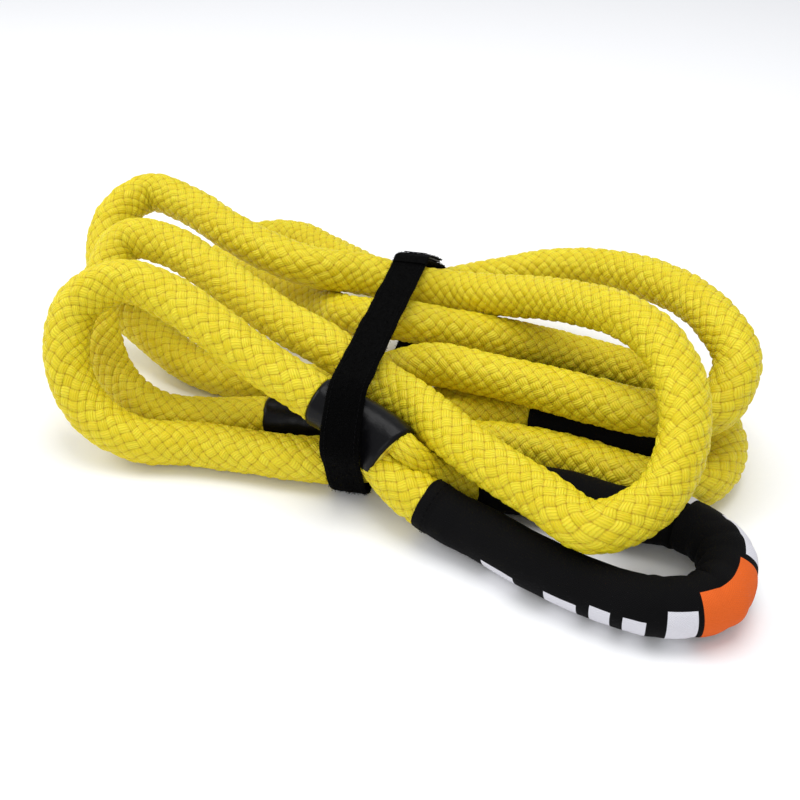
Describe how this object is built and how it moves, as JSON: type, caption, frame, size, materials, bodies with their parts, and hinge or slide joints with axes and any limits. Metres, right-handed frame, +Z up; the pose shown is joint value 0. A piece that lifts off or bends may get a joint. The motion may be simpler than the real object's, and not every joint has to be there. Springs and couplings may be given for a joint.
{
  "type": "recovery rope hank",
  "caption": "Double-braided recovery rope with a sleeved spliced eye at each end, folded into a hank and held by a hook-and-loop strap.",
  "frame": {"origin": "on the surface the hank lies on, under the middle of its box", "axes": "+X along the hank towards the shackle eye, +Y across it to the back, +Z up"},
  "size_m": [0.4499, 0.2777, 0.0968],
  "materials": {
    "rope_cover": "yellow braided nylon, slightly glossy",
    "rope_core": "braided nylon core",
    "splice_band": "glossy black coating",
    "eye_sleeve": "black woven nylon with a printed patch",
    "strap_pile": "black brushed loop pile",
    "hook_strip": "black moulded hooks on woven tape",
    "black_twine": "black waxed twine"
  },
  "bodies": {
    "hank": {"front_left_bight_cover": "rope_cover", "middle_left_bight_cover": "rope_cover", "tall_left_bight_cover": "rope_cover", "rear_left_bight_cover": "rope_cover", "front_right_bight_cover": "rope_cover", "outer_right_bight_cover": "rope_cover", "low_right_bight_cover": "rope_cover", "front_left_bight_core": "rope_core", "middle_left_bight_core": "rope_core", "tall_left_bight_core": "rope_core", "rear_left_bight_core": "rope_core", "front_right_bight_core": "rope_core", "outer_right_bight_core": "rope_core", "low_right_bight_core": "rope_core", "splice_a_throat": "rope_cover", "splice_b_throat": "rope_cover", "splice_a_tail": "rope_core", "splice_b_tail": "rope_core", "splice_a_lock_stitch": "black_twine", "splice_b_lock_stitch": "black_twine", "splice_a_band": "splice_band", "splice_b_band": "splice_band", "eye_b_cover": "rope_cover", "eye_b_core": "rope_core", "eye_b_sleeve": "eye_sleeve", "strap_loop": "strap_pile"},
    "eye_a": {"eye_a_cover": "rope_cover", "eye_a_core": "rope_core", "eye_a_sleeve": "eye_sleeve"},
    "strap_tab": {"strap_tab": "strap_pile", "strap_tab_hooks": "hook_strip", "strap_tab_stitching": "black_twine"}
  },
  "joints": [
    {"name": "eye_a_swing", "type": "hinge", "parent": "hank", "child": "eye_a", "pos_m": [0.046, -0.066, 0.034], "axis": [0, 0, -1], "range_deg": [0, 20]},
    {"name": "tab_peel", "type": "hinge", "parent": "hank", "child": "strap_tab", "pos_m": [-0.04324, 0.06914, 0.06507], "axis": [0.9063, 0.4226, 0], "range_deg": [0, 110]}
  ]
}
